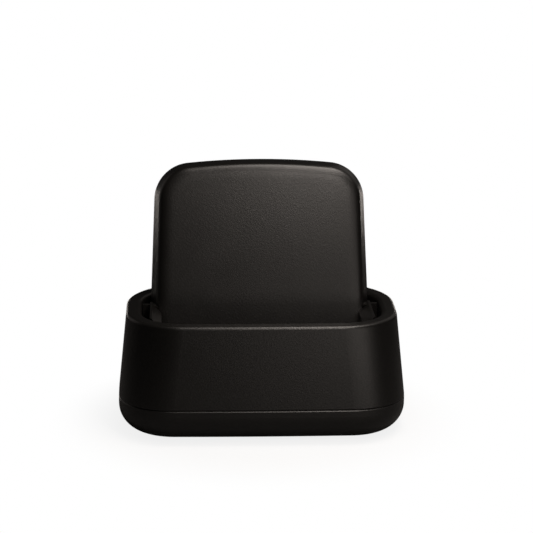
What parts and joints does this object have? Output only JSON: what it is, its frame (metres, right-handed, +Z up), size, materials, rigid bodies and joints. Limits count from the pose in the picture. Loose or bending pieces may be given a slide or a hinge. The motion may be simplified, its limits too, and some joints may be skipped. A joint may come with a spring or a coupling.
{
  "type": "desktop charging cradle",
  "caption": "Empty desktop charging cradle for a cordless phone: a drafted tub with a leaning backrest, a phone pocket and sprung charging contacts.",
  "frame": {"origin": "on the surface that the feet stand on, under the middle of the base", "axes": "+X to the right seen from the front, +Y to the back, +Z up"},
  "size_m": [0.08, 0.05, 0.0722],
  "materials": {
    "textured_black_plastic": "fine spark-textured moulded ABS, satin",
    "zinc_plated_steel": "zinc plated sheet",
    "brass": "turned",
    "gold_plating": "polished plating",
    "spring_steel": "drawn wire",
    "black_nylon": "moulded",
    "green_laminate": "solder mask on glass-fibre laminate",
    "tinned_steel": "tin plated",
    "aluminium_can": "bare can",
    "ceramic_chip": "glazed chip",
    "screw_steel": "blackened",
    "foot_rubber": "matt"
  },
  "bodies": {
    "cradle": {"outer_housing": "textured_black_plastic", "base_cover": "textured_black_plastic", "ballast_plate": "zinc_plated_steel", "rubber_foot_front_left": "foot_rubber", "rubber_foot_front_right": "foot_rubber", "rubber_foot_rear_left": "foot_rubber", "rubber_foot_rear_right": "foot_rubber", "backrest_shell": "textured_black_plastic", "backrest_rear_cover": "textured_black_plastic", "contact_barrel_left": "brass", "contact_barrel_right": "brass", "contact_carrier": "black_nylon", "circuit_board": "green_laminate", "usb_socket_shell": "tinned_steel", "usb_socket_tongue": "black_nylon", "usb_socket_contacts": "gold_plating", "board_capacitor": "aluminium_can", "board_fuse": "ceramic_chip", "board_diode": "black_nylon", "board_resistors": "ceramic_chip", "case_screws": "screw_steel", "board_screws": "screw_steel", "ballast_screws": "screw_steel", "contact_spring_left": "spring_steel", "contact_spring_right": "spring_steel"},
    "left_contact": {"contact_pin_left": "gold_plating"},
    "right_contact": {"contact_pin_right": "gold_plating"}
  },
  "joints": [
    {"name": "contact_press_left", "type": "slide", "parent": "cradle", "child": "left_contact", "axis": [0, 0, 1], "range_m": [-0.001, 0], "stiffness_N_per_m": 600, "springref_m": 0.0004, "deforming": ["contact_spring_left"]},
    {"name": "contact_press_right", "type": "slide", "parent": "cradle", "child": "right_contact", "axis": [0, 0, 1], "range_m": [-0.001, 0], "stiffness_N_per_m": 600, "springref_m": 0.0004, "deforming": ["contact_spring_right"]}
  ]
}
